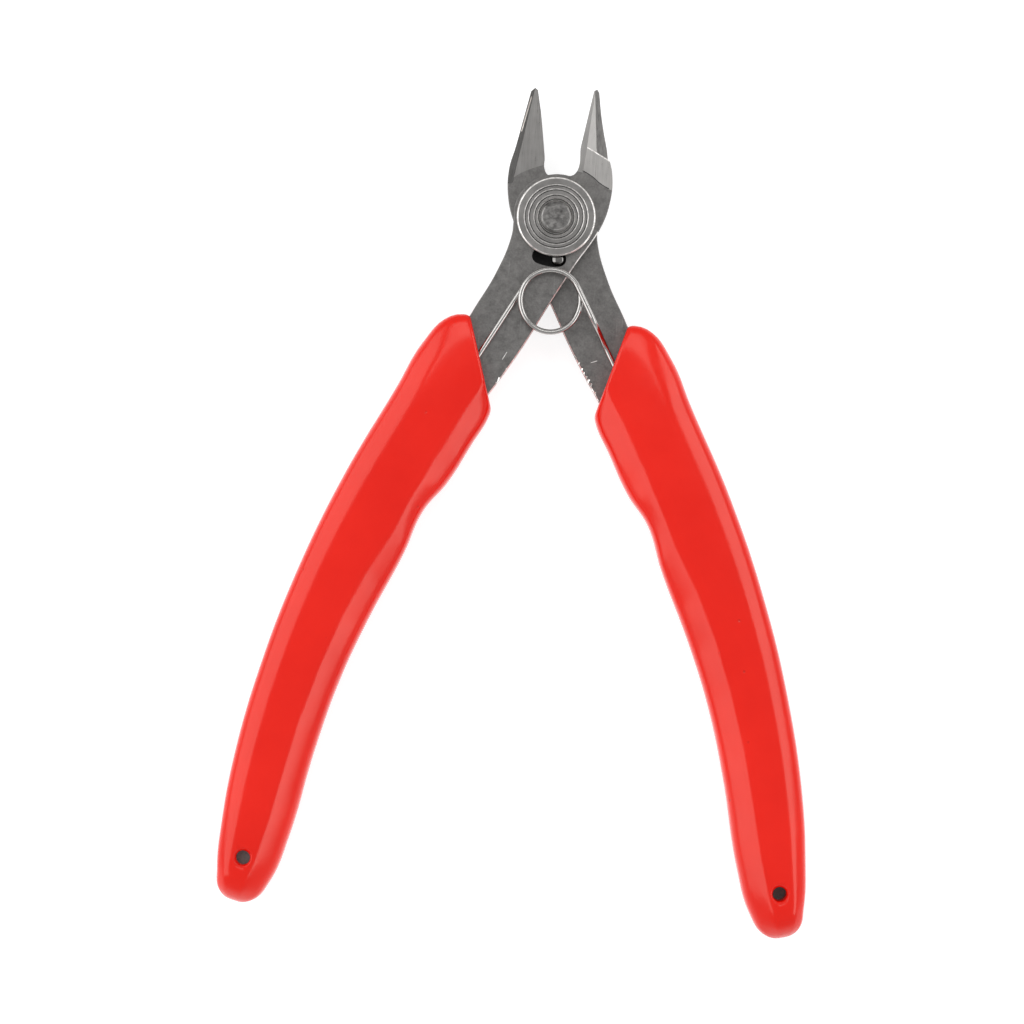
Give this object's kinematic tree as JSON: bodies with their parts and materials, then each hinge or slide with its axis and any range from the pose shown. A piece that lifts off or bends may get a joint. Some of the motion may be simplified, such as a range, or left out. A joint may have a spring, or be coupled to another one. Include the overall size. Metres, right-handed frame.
{
  "type": "diagonal cutting pliers",
  "caption": "Small flush diagonal cutters with ground steel halves on a riveted pivot, a wire return spring, a stop pin and red moulded grips, shown open.",
  "frame": {"origin": "centre of the rivet's flat back face, on the pivot axis", "axes": "+Z along the pivot axis towards the stepped disc (front), +Y along the line midway between the halves towards the jaw tips, +X towards the front half's jaw"},
  "size_m": [0.087, 0.1233, 0.01],
  "materials": {
    "blade_steel": "ground and tumbled, mid grey",
    "rivet_steel": "turned, light grey",
    "spring_wire": "bright drawn wire",
    "grip_plastic": "glossy red vinyl"
  },
  "bodies": {
    "pivot": {"pivot_rivet": "rivet_steel", "rivet_disc": "rivet_steel", "return_spring": "spring_wire"},
    "front_half": {"front_blade_half": "blade_steel", "left_grip": "grip_plastic"},
    "rear_half": {"rear_blade_half": "blade_steel", "stop_pin": "rivet_steel", "right_grip": "grip_plastic"}
  },
  "joints": [
    {"name": "front_half_swing", "type": "hinge", "parent": "pivot", "child": "front_half", "pos_m": [0, 0, 0.00375], "axis": [0, 0, 1], "range_deg": [0, 13.1], "stiffness_Nm_per_rad": 0.6, "springref_deg": -22.92, "deforming": ["return_spring"]},
    {"name": "rear_half_swing", "type": "hinge", "parent": "pivot", "child": "rear_half", "pos_m": [0, 0, 0.00375], "axis": [0, 0, 1], "range_deg": [-13.1, 0], "stiffness_Nm_per_rad": 0.6, "springref_deg": 22.92, "deforming": ["return_spring"]}
  ],
  "couplings": [
    {"joint": "rear_half_swing", "follows": "front_half_swing", "ratio": -1}
  ]
}
